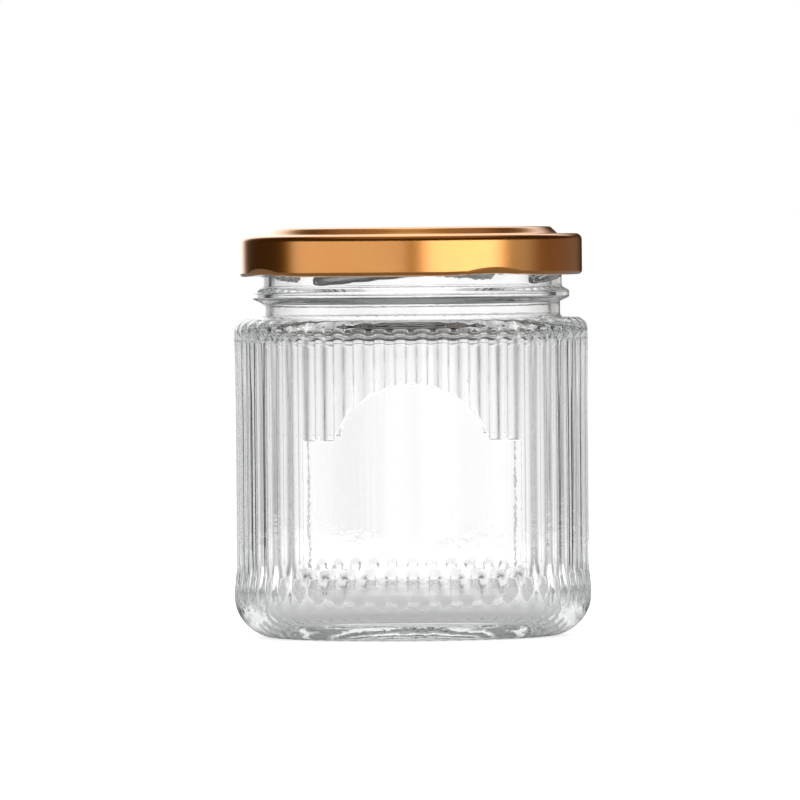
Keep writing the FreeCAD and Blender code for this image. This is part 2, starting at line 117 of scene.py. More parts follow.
class Graph:
    """A node tree, emptied and built up by expressions."""

    def __init__(self, tree: bpy.types.NodeTree) -> None:
        """Empty the tree."""
        self.tree = tree
        tree.nodes.clear()

    def node(self, kind: str, settings: Mapping[str, Any] | None = None,
             inputs: Mapping[Any, Any] | None = None) -> bpy.types.Node:
        """Add one node.

        Args:
            kind: the node's type name.
            settings: its own settings, set first; "stops" gives a ramp's (place, colour) pairs.
            inputs: values, sockets or signals by the socket's name or number.

        Returns:
            The new node.
        """
        made = self.tree.nodes.new(kind)
        for name, value in (settings or {}).items():
            if name == "stops":
                elements = made.color_ramp.elements
                while len(elements) < len(value):
                    elements.new(1.0)
                for element, (place, colour) in zip(elements, value):
                    element.position, element.color = place, (*colour, 1.0)
            else:
                setattr(made, name, value)
        for name, value in (inputs or {}).items():
            socket = made.inputs[name]
            if isinstance(value, Signal):
                value = value.socket
            if isinstance(value, bpy.types.NodeSocket):
                self.tree.links.new(value, socket)
            else:
                socket.default_value = value
        return made

    def signal(self, kind: str, settings: Mapping[str, Any] | None = None,
               inputs: Mapping[Any, Any] | None = None, output: int | str = 0) -> Signal:
        """Add one node and take one of its outputs as a signal."""
        return Signal(self, self.node(kind, settings, inputs).outputs[output])

    def blend(self, share: Any, first: Any, second: Any, mode: str = "MIX") -> Signal:
        """Mix two colours; share 0 gives the first and 1 the second."""
        return self.signal(
            "ShaderNodeMix", {"data_type": "RGBA", "blend_type": mode},
            {0: share, 6: first, 7: second}, output=2)

    def noise(self, place: Signal, scale: float, detail: float = 2.0,
              stretch: tuple[float, float, float] = (1.0, 1.0, 1.0)) -> Signal:
        """Smooth noise about 0.5 in Object coordinates, stretched along the axes."""
        scaled = self.signal(
            "ShaderNodeVectorMath", {"operation": "MULTIPLY"}, {0: place, 1: stretch})
        return self.signal("ShaderNodeTexNoise", None,
                           {"Vector": scaled, "Scale": scale, "Detail": detail}, output="Fac")

    def place(self) -> Signal:
        """The point's own Object coordinates."""
        return self.signal("ShaderNodeTexCoord", output="Object")


def rgba(colour: Sequence[float]) -> tuple[float, float, float, float]:
    """A colour with full alpha."""
    return (colour[0], colour[1], colour[2], 1.0)


# ------------------------------------------------------------ finishes

@dataclass(frozen=True)
class SodaLimeGlass:
    """Clear pressed glass with a faint green-grey body and a slightly wavy skin."""

    ior: float = 1.52
    tint: tuple[float, float, float] = (0.78, 0.93, 0.89)
    density: float = 3.5
    wave_size: float = 95.0
    wave_height: float = 0.00005
    ripple_size: float = 520.0
    ripple_height: float = 0.000012
    wave_stretch: tuple[float, float, float] = (1.0, 1.0, 0.45)

    def material(self) -> bpy.types.Material:
        """Transparent Principled surface over a plain absorption volume."""
        made = bpy.data.materials.new("clear_glass")
        made.use_nodes = True
        graph = Graph(made.node_tree)
        place = graph.place()
        waves = graph.noise(place, self.wave_size, 1.0, self.wave_stretch)
        ripples = graph.noise(place, self.ripple_size, 2.0)
        slow = graph.node("ShaderNodeBump", None,
                          {"Height": waves, "Distance": self.wave_height, "Strength": 1.0})
        fast = graph.node("ShaderNodeBump", None,
                          {"Height": ripples, "Distance": self.ripple_height, "Strength": 1.0,
                           "Normal": slow.outputs[0]})
        surface = graph.node("ShaderNodeBsdfPrincipled", None, {
            "Base Color": (1, 1, 1, 1), "Roughness": 0.0, "IOR": self.ior,
            "Transmission Weight": 1.0, "Normal": fast.outputs[0]})
        volume = graph.node("ShaderNodeVolumeAbsorption", None,
                            {"Color": rgba(self.tint), "Density": self.density})
        graph.node("ShaderNodeOutputMaterial", None,
                   {"Surface": surface.outputs[0], "Volume": volume.outputs[0]})
        return made


@dataclass(frozen=True)
class LacqueredTinplate:
    """Satin copper-coloured lacquer on pressed sheet; inside, a grey enamel darkened with painted
    shade.
    """

    outside: tuple[float, float, float] = (0.80, 0.33, 0.045)
    outside_deep: tuple[float, float, float] = (0.76, 0.29, 0.030)
    # painted shade: the inside is grey enamel, set darker than its own colour to stand for the
    # shade under the cap
    inside: tuple[float, float, float] = (0.30, 0.33, 0.32)
    roughness: float = 0.235
    coat: float = 1.0
    coat_roughness: float = 0.15
    coat_ior: float = 1.75
    cloud_size: float = 60.0
    cloud_gloss: float = 0.05
    tooth_size: float = 2600.0
    tooth_gloss: float = 0.07
    tooth_height: float = 0.000012
    inside_duller: float = 0.12

    def material(self) -> bpy.types.Material:
        """Coated metal whose tone and gloss drift slowly, with a fine satin tooth."""
        made = bpy.data.materials.new("copper_lacquer")
        made.use_nodes = True
        graph = Graph(made.node_tree)
        place = graph.place()
        cloud = graph.noise(place, self.cloud_size, 3.0)
        tooth = graph.noise(place, self.tooth_size, 2.0)
        hidden = graph.signal("ShaderNodeAttribute", {"attribute_name": "inner_face"}, output="Fac")
        outside = graph.blend(cloud.smooth(0.35, 0.65), rgba(self.outside_deep), rgba(self.outside))
        # inner faces take the inside colour: grey enamel darkened as painted shade
        colour = graph.blend(hidden, outside, rgba(self.inside))
        drift = (cloud - 0.5) * self.cloud_gloss
        satin = (tooth - 0.5) * self.tooth_gloss
        rough = self.roughness + drift + satin + hidden * self.inside_duller
        bump = graph.node("ShaderNodeBump", None,
                          {"Height": tooth, "Distance": self.tooth_height, "Strength": 0.6})
        surface = graph.node("ShaderNodeBsdfPrincipled", None, {
            "Base Color": colour, "Metallic": 1 - hidden, "Roughness": rough,
            "Coat Weight": self.coat, "Coat Roughness": self.coat_roughness,
            "Coat IOR": self.coat_ior, "Normal": bump.outputs[0]})
        graph.node("ShaderNodeOutputMaterial", None, {"Surface": surface.outputs[0]})
        return made


@dataclass(frozen=True)
class SealingCompound:
    """Soft off-white compound, a little mottled where it was laid in the channel."""

    colour: tuple[float, float, float] = (0.78, 0.74, 0.66)
    shade: tuple[float, float, float] = (0.66, 0.61, 0.53)
    roughness: float = 0.42
    mottle_size: float = 220.0
    mottle_gloss: float = 0.18
    grain_size: float = 1900.0
    grain_height: float = 0.00003

    def material(self) -> bpy.types.Material:
        """Matt plastic with slow mottling and a fine grain."""
        made = bpy.data.materials.new("sealing_compound")
        made.use_nodes = True
        graph = Graph(made.node_tree)
        place = graph.place()
        mottle = graph.noise(place, self.mottle_size, 3.0)
        grain = graph.noise(place, self.grain_size, 2.0)
        colour = graph.blend(mottle.smooth(0.3, 0.7), rgba(self.shade), rgba(self.colour))
        bump = graph.node("ShaderNodeBump", None,
                          {"Height": grain, "Distance": self.grain_height, "Strength": 0.5})
        surface = graph.node("ShaderNodeBsdfPrincipled", None, {
            "Base Color": colour, "Roughness": self.roughness + mottle * self.mottle_gloss,
            "Normal": bump.outputs[0]})
        graph.node("ShaderNodeOutputMaterial", None, {"Surface": surface.outputs[0]})
        return made


# ------------------------------------------------------------ surfaces

class Ease(Enum):
    """How a share between 0 and 1 is eased."""

    LINEAR = "linear"
    SMOOTH = "smooth"


def step(values: np.ndarray, low: float, high: float, ease: Ease = Ease.SMOOTH) -> np.ndarray:
    """Share of the way from low to high, held at 0 and 1 outside; smooth is 3t^2 - 2t^3."""
    share = np.clip((values - low) / (high - low), 0.0, 1.0)
    return share * share * (3 - 2 * share) if ease is Ease.SMOOTH else share


@dataclass(frozen=True)
class Corner:
    """A corner of a section: where it is, its rounding, and how finely it is divided."""

    radius: float
    height: float
    rounding: float = 0.0
    arc_steps: int = 0
    run_steps: int = 1


def rounded_section(corners: Sequence[Corner]) -> np.ndarray:
    """Points along a section with rounded corners.

    Each corner's arc touches both its runs at rounding times the tangent of
    half the turn; the run that follows a corner is divided evenly.

    Args:
        corners: the section's corners in order, open at both ends.

    Returns:
        Radius and height of each point, one row each.
    """
    places = np.array([(corner.radius, corner.height) for corner in corners])
    stretches: list[np.ndarray] = []
    last = places[0]
    for index, corner in enumerate(corners):
        here = places[index]
        if 0 < index < len(corners) - 1 and corner.rounding > 0:
            before = (places[index - 1] - here) / np.linalg.norm(places[index - 1] - here)
            after = (places[index + 1] - here) / np.linalg.norm(places[index + 1] - here)
            half = math.acos(float(np.clip(before @ after, -1, 1))) / 2
            reach = corner.rounding / math.tan(half)
            inward = (before + after) / np.linalg.norm(before + after)
            middle = here + inward * corner.rounding / math.sin(half)
            first, final = here + before * reach - middle, here + after * reach - middle
            sweep = math.pi - 2 * half
            share = np.linspace(0, 1, corner.arc_steps + 1)[:, None]
            leaving, coming = np.sin((1 - share) * sweep), np.sin(share * sweep)
            arc = middle + (first * leaving + final * coming) / math.sin(sweep)
        else:
            arc = here[None, :]
        if index:
            count = corners[index - 1].run_steps
            between = np.linspace(0, 1, count + 1)[1:-1, None]
            stretches.append(last + (arc[0] - last) * between)
        stretches.append(arc)
        last = arc[-1]
    return np.concatenate(stretches)


def outward(section: np.ndarray) -> np.ndarray:
    """Unit normal of a section at each point: its central difference, a quarter turn right."""
    along = np.gradient(section, axis=0)
    along /= np.linalg.norm(along, axis=1, keepdims=True)
    return np.stack([along[:, 1], -along[:, 0]], axis=1)


def evenly(points: np.ndarray, count: int) -> np.ndarray:
    """The same line at count points, evenly spaced by its own length."""
    length = np.concatenate([[0.0], np.cumsum(np.linalg.norm(np.diff(points, axis=0), axis=1))])
    wanted = np.linspace(0.0, length[-1], count)
    return np.stack([np.interp(wanted, length, points[:, axis]) for axis in (0, 1)], axis=1)


class TurnedMesh:
    """A closed skin made of rings stacked along a section, from one pole to the other.

    A ring has one point per column. Two neighbouring rings have as many columns
    as each other, or one has twice as many.
    """

    def __init__(self) -> None:
        """Start with nothing."""
        self.points: list[np.ndarray] = []
        self.quads: list[np.ndarray] = []
        self.triangles: list[np.ndarray] = []
        self.marks: list[np.ndarray] = []
        self.count = 0
        self.last: np.ndarray | None = None

    def _band(self, low: np.ndarray, high: np.ndarray) -> None:
        """Faces between two rings, each given as its point numbers."""
        if len(low) == len(high):
            self.quads.append(np.stack([low, np.roll(low, -1), np.roll(high, -1), high], axis=1))
            return
        if len(low) == 1:
            point = np.full(len(high), low[0])
            self.triangles.append(np.stack([point, np.roll(high, -1), high], axis=1))
            return
        if len(high) == 1:
            point = np.full(len(low), high[0])
            self.triangles.append(np.stack([low, np.roll(low, -1), point], axis=1))
            return
        if len(high) == 2 * len(low):
            first, second = low, np.roll(low, -1)
            start, middle, end = high[0::2], high[1::2], np.roll(high[0::2], -1)
            self.triangles += [np.stack(t, axis=1) for t in (
                (first, middle, start), (first, second, middle), (second, end, middle))]
            return
        first, second = high, np.roll(high, -1)
        start, middle, end = low[0::2], low[1::2], np.roll(low[0::2], -1)
        self.triangles += [np.stack(t, axis=1) for t in (
            (start, middle, first), (first, middle, second), (middle, end, second))]

    def pole(self, height: float, mark: float = 0.0) -> None:
        """A single point on the axis, at the start or the end."""
        self._ring(np.array([[0.0, 0.0, height]]), np.array([mark]))

    def _ring(self, points: np.ndarray, marks: np.ndarray) -> None:
        """Add one ring and join it to the last."""
        numbers = np.arange(self.count, self.count + len(points))
        self.points.append(points)
        self.marks.append(marks)
        self.count += len(points)
        if self.last is not None:
            self._band(self.last, numbers)
        self.last = numbers

    def stack(self, radius: np.ndarray, height: np.ndarray, angles: np.ndarray,
              marks: np.ndarray | None = None) -> None:
        """Add rings.

        The point of row i and column j lies at radius[i, j] from the axis, at
        height[i, j], turned by angles[j] from the front towards the right.

        Args:
            radius: one row per ring, one column per angle.
            height: the same shape.
            angles: degrees from the front.
            marks: a number per row, kept as an attribute.
        """
        turn = np.radians(angles)
        grid = np.stack([radius * np.sin(turn), -radius * np.cos(turn), height], axis=2)
        marks = np.zeros(len(grid)) if marks is None else marks
        for points, mark in zip(grid, marks):
            self._ring(points, np.full(len(points), mark))

    def piece(self, name: str, attribute: str | None = None) -> bpy.types.Object:
        """Make the Blender object, in metres, smooth all over."""
        points = np.concatenate(self.points) * MM
        quads = np.concatenate(self.quads)
        triangles = np.concatenate(self.triangles)
        loops = np.concatenate([quads.ravel(), triangles.ravel()]).astype(np.int32)
        starts = np.concatenate([
            np.arange(len(quads)) * 4, len(quads) * 4 + np.arange(len(triangles)) * 3])
        mesh = bpy.data.meshes.new(name)
        mesh.vertices.add(len(points))
        mesh.vertices.foreach_set("co", points.astype(np.float32).ravel())
        mesh.loops.add(len(loops))
        mesh.loops.foreach_set("vertex_index", loops)
        mesh.polygons.add(len(starts))
        mesh.polygons.foreach_set("loop_start", starts.astype(np.int32))
        mesh.polygons.foreach_set("use_smooth", np.ones(len(starts), dtype=bool))
        mesh.update(calc_edges=True)
        mesh.validate()
        if attribute:
            layer = mesh.attributes.new(attribute, "FLOAT", "POINT")
            layer.data.foreach_set("value", np.concatenate(self.marks).astype(np.float32))
        made = bpy.data.objects.new(name, mesh)
        bpy.context.scene.collection.objects.link(made)
        LOG.info("%s: %d points, %d triangles", name, len(points), 2 * len(quads) + len(triangles))
        return made


# ------------------------------------------------------------ the jar

@dataclass
class RibbedJar:
    """The glass: heel, fluted wall with its label fields, shoulder, neck and thread.

    Sizes are in mm and degrees. The land is the plain wall under the ridges,
    and the crest is the line of the ridges' tops.
    """

    finish: SodaLimeGlass
    ribs: int = 52
    land_radius: float = 36.75
    heel_radius: float = 37.78
    heel_round: float = 9.4
    crest_radius: float = 37.25
    shoulder_crest: float = 37.42
    flute_low: float = 6.2
    flute_depth: float = 0.5
    flute_gain: float = 1.1
    flutes_fade: tuple[float, float] = (62.8, 65.2)
    shoulder_ease: float = 0.72
    heel_flutes_top: float = 16.0
    crest_leaves_heel: float = 9.6
    crest_reaches_wall: float = 15.8
    crest_swells: tuple[float, float] = (48.0, 62.0)
    shoulder_start: float = 64.0
    rib_shift_out: float = 0.70
    rib_shift_up: float = 0.14
    rib_inset: float = 0.20
    rib_run_out: float = 0.5
    flute_half: float = 1.2
    flute_power: float = 3.0
    ridge_fall: float = 0.40
    cut_run: float = 0.6
    field_draws_from: tuple[float, float] = (18.0, 41.0)
    field_draws_to: tuple[float, float] = (62.0, 44.0)
    field_low: float = 15.6
    field_half_width: float = 22.66
    field_corner: float = 41.9
    arch_centre: float = 36.65
    arch_radius: float = 16.9
    column_places: tuple[float, ...] = (
        -0.5, -0.40, -0.32, -0.285, -0.262, -0.23, -0.17, -0.09,
        0.0, 0.09, 0.17, 0.23, 0.262, 0.285, 0.32, 0.40)
    thread_starts: int = 4
    thread_turn: float = -41.0
    thread_span: float = 82.0
    thread_lead: float = 21.0
    thread_height: float = 76.15
    thread_half_height: float = 1.55
    thread_depth: float = 1.15
    thread_lowest: float = 74.2
    thread_highest: float = 83.6
    knurls: int = 56
    knurl_depth: float = 0.22
    knurl_width: float = 0.2
    base_dome: float = 2.2
    ring_inner: float = 26.6
    foot_top: float = 13.0
    shoulder_height: float = 67.1
    shoulder_round: float = 2.6
    neck_radius: float = 31.6
    neck_foot: float = 67.4
    bead_radius: float = 33.6
    bead_low: float = 71.55
    bead_high: float = 73.0
    bead_round: float = 0.725
    finish_radius: float = 32.0
    rim_height: float = 84.3
    rim_round: float = 0.9
    bore_radius: float = 29.5
    bore_round: float = 2.56
    inner_radius: float = 34.15
    inner_floor: float = 5.2
    inner_heel_round: float = 6.8
    inner_shoulder: float = 64.9
    inner_shoulder_round: float = 2.7
    wave_depth: float = 0.035

    def _angles(self, thin: int = 1) -> np.ndarray:
        """Degrees from the front of every column, or of every second or fourth one."""
        places = (np.arange(self.ribs)[:, None] + np.array(self.column_places)[None, :]).ravel()
        return places[::thin] * 360.0 / self.ribs

    def _field_top(self, across: np.ndarray) -> tuple[np.ndarray, np.ndarray]:
        """Upper border of the label field.

        It is the circle of the arch where that is higher than the square
        corners, else level.

        Args:
            across: distances from the field's middle line.

        Returns:
            The border's height at each, and the cosine of its slope.
        """
        level = self.field_corner - self.arch_centre
        rise = np.sqrt(np.maximum(self.arch_radius ** 2 - across ** 2, level ** 2))
        on_arch = self.arch_radius ** 2 - across ** 2 > level ** 2
        return self.arch_centre + rise, np.where(on_arch, rise / self.arch_radius, 1.0)

    def _relief(self, away: np.ndarray, half_pitch: float) -> np.ndarray:
        """Share of the ridges' height at a distance from a flute's line.

        The flute rises from its line as a power of the distance; from its edge
        the ridge climbs on to its crown, half a pitch away, as a parabola.
        """
        edge = 1.0 - self.ridge_fall
        flute = edge * (np.minimum(away, self.flute_half) / self.flute_half) ** self.flute_power
        left = np.clip((half_pitch - away) / (half_pitch - self.flute_half), 0.0, 1.0)
        return np.where(away < self.flute_half, flute, 1.0 - self.ridge_fall * left ** 2)

    def _rib_height(self, section: np.ndarray, normals: np.ndarray, height: np.ndarray,
                    angles: np.ndarray) -> np.ndarray:
        """How far the skin lies outside the section, for every row and column.

        The crests' own line is the heel, then an ease in to the wall's crest;
        over the shoulder it is an arc of its own centre and radius. The flutes
        go down from it to a little below the section, and some way into the
        heel, and they fade over the shoulder. They end square above the label
        field, and round below it and at the heel.

        Args:
            section: radius and height of each row.
            normals: the section's outward normal at each row.
            height: height of each row and column on the glass.
            angles: degrees from the front of each column.

        Returns:
            The distance along the normal, one row per row of the section.
        """
        pitch = 2 * math.pi * self.land_radius / self.ribs
        turns = angles * self.ribs / 360.0
        aside = np.abs((turns - np.round(turns)) * pitch)[None, :] + np.zeros_like(height)
        level = section[:, 1]
        crest = self.heel_radius + (self.crest_radius - self.heel_radius) * step(
            level, self.crest_leaves_heel, self.crest_reaches_wall)
        crest = crest + (self.shoulder_crest - self.crest_radius) * step(level, *self.crest_swells)
        stand = np.where(level < self.heel_round, 0.0, np.clip(crest - section[:, 0], 0.0, None))
        shift = self.rib_shift_out * normals[:, 0] + self.rib_shift_up * normals[:, 1]
        over = shift - self.rib_inset
        reach = self.shoulder_crest - self.land_radius
        stand = np.where(level > self.shoulder_start,
                         np.clip(over / self.rib_run_out, 0.0, 1.0) * reach, stand)
        low = self.flute_depth * step(level, self.flute_low, self.heel_round)
        low = low * (level < self.heel_flutes_top)
        fade = 1 - self.shoulder_ease * step(level, *self.flutes_fade)
        depth = np.maximum(stand * self.flute_gain, low) * fade
        across = np.abs(self.land_radius * np.sin(np.radians(angles)))[None, :]
        top, lean = self._field_top(across)
        beyond = np.maximum(across - self.field_half_width, (height - top) * lean)
        below = self.field_low - height
        half = pitch / 2
        cut = np.maximum(aside, half * (1 - np.maximum(beyond, below) / self.cut_run))
        tip = np.where(below > beyond, np.hypot(aside, np.clip(half - below, 0.0, None)), cut)
        foot = np.hypot(aside, np.clip(half - (height - self.flute_low), 0.0, None))
        relief = self._relief(np.maximum(tip, foot), half)
        return stand[:, None] - depth[:, None] * (1.0 - relief)

    def _knurl(self, section: np.ndarray, angles: np.ndarray) -> np.ndarray:
        """Lift of the bearing ring between its knurls: a bell round each evenly spaced crest."""
        turns = angles * self.knurls / 360.0
        crest = np.exp(-((turns - np.round(turns)) / self.knurl_width) ** 2)
        radius, low = section[:, 0], section[:, 1] < 1.2
        ring = step(radius, 26.0, 27.0) * step(radius, 30.4, 28.6) * low
        return self.knurl_depth * ring[:, None] * (1.0 - crest)[None, :]

    def _thread(self, section: np.ndarray, angles: np.ndarray) -> np.ndarray:
        """How far the thread ridges stand out of the finish.

        Each ridge climbs evenly with the angle; across it is 1 - (dz/half)^2,
        and it eases out over the first and last eighth of its length.
        """
        out = np.zeros((len(section), len(angles)))
        level = section[:, 1][:, None]
        for start in range(self.thread_starts):
            first = self.thread_turn + 360.0 * start / self.thread_starts
            along = ((angles - first) % 360.0) / self.thread_span
            ends = np.minimum(step(along, 0.0, 0.12), step(along, 1.0, 0.88))[None, :]
            climb = self.thread_lead * self.thread_span / 360.0
            middle = self.thread_height + along[None, :] * climb
            bare = 1.0 - ((level - middle) / self.thread_half_height) ** 2
            ridge = 0.5 * (bare + np.sqrt(bare * bare + 0.02))
            stands = self.thread_depth * ends * np.minimum(ridge, 1.0)
            out = np.maximum(out, np.where(along[None, :] < 1.0, stands, 0.0))
        return out * (level > self.thread_lowest) * (level < self.thread_highest)

    def _wall_rows(self) -> np.ndarray:
        """Heights of the straight wall's rows, close together at the label field's borders."""
        return np.concatenate([
            np.array([14.0, 14.35, 14.65, 14.95, 15.2, 15.45, 15.62, 15.9, 16.4]),
            np.array([20.0, 30.0, 39.0, 41.2, 41.7]),
            self.field_corner + np.array([-0.02, 0.1, 0.22, 0.34, 0.46, 0.6, 1.0]),
            np.array([46.0, 51.0, 56.0, 60.5]),
        ])

    def mesh(self) -> TurnedMesh:
        """The whole skin: from the middle of the underside out, up, over the rim and down."""
        skin = TurnedMesh()
        fine, middle, coarse = self._angles(), self._angles(2), self._angles(4)
        flat = np.ones((1, len(coarse)))
        hollow = rounded_section([
            Corner(0.0, self.base_dome, run_steps=5), Corner(14.0, 2.0, 30.0, 5, 4),
            Corner(24.5, 0.8, 1.5, 3, 2), Corner(self.ring_inner, 0.0)])[:-1]
        skin.pole(self.base_dome)
        skin.stack(hollow[1:, :1] * flat, hollow[1:, 1:] * flat, coarse)
        skin.stack(np.full((1, len(middle)), 26.35), np.full((1, len(middle)), 0.11), middle)

        wall = rounded_section([
            Corner(self.ring_inner, 0.0, run_steps=5),
            Corner(self.heel_radius, 0.0, self.heel_round - 0.35, 15, 1),
            Corner(self.heel_radius, 10.35, 2.6, 4, 1),
            Corner(self.land_radius, self.foot_top, 3.0, 4, 1),
            Corner(self.land_radius, 13.9)])
        rows = self._wall_rows()
        straight = np.stack([np.full(len(rows), self.land_radius), rows], axis=1)
        shoulder = rounded_section([
            Corner(self.land_radius, 63.0, run_steps=2),
            Corner(self.land_radius, self.shoulder_height, self.shoulder_round, 12, 3),
            Corner(self.neck_radius, self.neck_foot)])[:-1]
        section = np.concatenate([wall, straight, shoulder])
        normals = outward(section)
        top, _ = self._field_top(np.abs(self.land_radius * np.sin(np.radians(fine)))[None, :])
        inside = np.minimum(step(section[:, 1], *self.field_draws_from, Ease.LINEAR),
                            step(section[:, 1], *self.field_draws_to, Ease.LINEAR))
        height = section[:, 1:] + inside[:, None] * (top - self.field_corner)
        ribs = self._rib_height(section, normals, height, fine)
        lift = self._knurl(section, fine)
        skin.stack(section[:, :1] + normals[:, :1] * ribs,
                   height + normals[:, 1:] * ribs + lift, fine)

        neck = rounded_section([
            Corner(32.9, 67.33, run_steps=2),
            Corner(self.neck_radius, self.neck_foot, 0.8, 5, 3),
            Corner(self.neck_radius, 70.7, 0.4, 3, 1),
            Corner(self.bead_radius, self.bead_low, self.bead_round, 5, 1),
            Corner(self.bead_radius, self.bead_high, self.bead_round, 5, 1),
            Corner(self.finish_radius, 73.85, 0.4, 3, 18),
            Corner(self.finish_radius, self.rim_height, self.rim_round, 5, 1),
            Corner(self.bore_radius, self.rim_height, self.rim_round, 4, 1),
            Corner(self.bore_radius, 82.5)])[:-1]
        ridge = self._thread(neck, middle)
        skin.stack(neck[:, :1] + ridge, neck[:, 1:] + 0 * ridge, middle)

        bore = rounded_section([
            Corner(self.bore_radius, 83.0, run_steps=5),
            Corner(self.bore_radius, self.inner_shoulder, self.bore_round, 7, 1),
            Corner(self.inner_radius, self.inner_shoulder, self.inner_shoulder_round, 7, 7),
            Corner(self.inner_radius, self.inner_floor, self.inner_heel_round, 11, 6),
            Corner(0.0, self.inner_floor)])[:-1]
        wave = self._inner_wave(bore, coarse)
        skin.stack(bore[:, :1] + wave, bore[:, 1:] + 0 * wave, coarse)
        skin.pole(self.inner_floor)
        return skin

    def _inner_wave(self, section: np.ndarray, angles: np.ndarray) -> np.ndarray:
        """Slow unevenness of the blown inner wall: two crossing sine waves of a few hundredths."""
        turn, level = np.radians(angles)[None, :], section[:, 1][:, None]
        wave = np.sin(3 * turn + level / 9.0) + 0.6 * np.sin(7 * turn - level / 5.0 + 1.0)
        return self.wave_depth * wave * (section[:, :1] > self.finish_radius + 1.0)

    def build(self) -> bpy.types.Object:
        """Make the glass, dress it, and let it stand for the CAD jar."""
        piece = self.mesh().piece("jar_glass")
        piece.data.materials.append(self.finish.material())
        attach(piece, "root")
        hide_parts("jar")
        return piece


# ------------------------------------------------------------ the cap

@dataclass
class LugCap:
    """The pressed twist-off cap: raised panel, channel, skirt, curled edge, four lugs.

    Sizes are in mm and degrees.
    """

    finish: LacqueredTinplate
    columns: int = 480
    radius: float = 36.34
    top: float = 86.5
    foot: float = 76.31
    sheet: float = 0.25
    lugs: int = 4
    lug_turn: float = 29.6
    lug_half: float = 11.0
    crease_half: float = 20.5
    crease_height: float = 1.8
    press: float = 0.13
    edge_lift: float = 0.42
    tongue_tip: float = 33.1
    shelf: float = 85.0
    skirt_foot: float = 79.0
    curl_round: float = 0.926
    curl_inner: float = 34.45
    curl_end: float = 77.85
    skirt_rows: int = 12
    edge_rows: int = 34
    return_rows: int = 26
    curl_turns_in: int = 21

    def _upper(self) -> np.ndarray:
        """Outside of the sheet from the middle of the panel to the top of the skirt."""
        return rounded_section([
            Corner(0.0, self.top, run_steps=6), Corner(29.6, self.top, 1.0, 6, 2),
            Corner(31.2, self.shelf, 0.75, 5, 4), Corner(self.radius, self.shelf, 1.4, 12, 1),
            Corner(self.radius, 83.4)])[1:]

    def _lower(self, tongue: bool) -> list[np.ndarray]:
        """Skirt, edge and return of the sheet: once with the curl, once with a lug's tongue."""
        inner, rows = self.radius - self.sheet, self.skirt_rows
        skirt = np.stack([np.full(rows, self.radius),
                          np.linspace(83.0, self.skirt_foot + 0.2, rows)], axis=1)
        if tongue:
            out = rounded_section([
                Corner(self.radius, self.skirt_foot), Corner(self.radius, self.foot, 0.5, 8),
                Corner(self.tongue_tip, self.foot, 0.2, 5),
                Corner(self.tongue_tip, self.foot + 0.4)])
            back = rounded_section([
                Corner(self.tongue_tip, self.foot + 0.45),
                Corner(inner - 0.3, self.foot + 0.5, 0.3, 5), Corner(inner, self.skirt_foot)])
        else:
            out = rounded_section([
                Corner(self.radius, self.skirt_foot),
                Corner(self.radius, self.foot, self.curl_round, 10),
                Corner(self.curl_inner, self.foot, self.curl_round, 10),
                Corner(self.curl_inner, self.curl_end)])
            back = rounded_section([
                Corner(self.curl_inner + self.sheet, self.curl_end),
                Corner(self.curl_inner + self.sheet, self.foot + self.sheet, 0.676, 8),
                Corner(inner, self.foot + self.sheet, 0.676, 8), Corner(inner, self.skirt_foot)])
        return [skirt, evenly(out, self.edge_rows), evenly(back, self.return_rows)]

    def _inside(self) -> np.ndarray:
        """Inside of the sheet from the skirt back to the middle of the panel."""
        inner = self.radius - self.sheet
        return rounded_section([
            Corner(inner, 79.6, run_steps=3),
            Corner(inner, self.shelf - self.sheet, 1.15, 6, 2),
            Corner(31.10, self.shelf - self.sheet, 1.0, 4, 1),
            Corner(29.50, self.top - self.sheet, 0.75, 4, 4),
            Corner(0.0, self.top - self.sheet)])[:-1]

    def mesh(self) -> TurnedMesh:
        """The sheet's whole skin.

        Around each lug the curl passes over into the tongue, and the lower
        skirt is pressed in below a crease whose height falls away from the
        lug's middle as a squared cosine.
        """
        angles = np.arange(self.columns) * 360.0 / self.columns
        pitch = 360.0 / self.lugs
        off = np.abs((angles - self.lug_turn + pitch / 2) % pitch - pitch / 2)[None, :]
        tongue = step(off, self.lug_half + 1.0, self.lug_half - 1.0)
        crease = np.cos(np.clip(off / self.crease_half, 0, 1) * math.pi / 2) ** 2
        curl = np.concatenate([self._upper(), *self._lower(False), self._inside()])
        lug = np.concatenate([self._upper(), *self._lower(True), self._inside()])
        radius = curl[:, :1] * (1 - tongue) + lug[:, :1] * tongue
        height = curl[:, 1:] * (1 - tongue) + lug[:, 1:] * tongue
        below = np.clip(self.foot + self.crease_height * crease - height, 0.0, None)
        radius = radius - self.press * below * (radius > 32.0)
        height = height + self.edge_lift * crease * step(height, 78.4, 76.3) * (radius > 32.0)
        turned_in = len(self._upper()) + self.skirt_rows + self.curl_turns_in
        marks = step(np.arange(len(curl), dtype=float), turned_in - 2, turned_in + 2)
        skin = TurnedMesh()
        skin.pole(self.top)
        skin.stack(radius, height, angles, marks)
        skin.pole(self.top - self.sheet, 1.0)
        return skin

    def build(self) -> bpy.types.Object:
        """Make the cap, dress it, and let it stand for the CAD lid."""
        piece = self.mesh().piece("lug_cap", "inner_face")
        piece.data.flip_normals()
        piece.data.materials.append(self.finish.material())
        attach(piece, "root")
        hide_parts("lid")
        return piece


@dataclass
class SealRing:
    """The compound ring in the cap's channel, which keeps its CAD solid."""

    finish: SealingCompound

    def dress(self) -> bpy.types.Object:
        """Give the CAD ring its finish."""
        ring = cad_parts["seal_ring"]
        made = self.finish.material()
        for slot in ring.material_slots:
            slot.link = "OBJECT"
            slot.material = made
        return ring


# ------------------------------------------------------------ the studio

@dataclass(frozen=True)
class Panel:
    """A panel of the room, by its bearing from the front and its height, in degrees."""

    left: float
    right: float
    low: float
    high: float
    soft: float
    strength: float


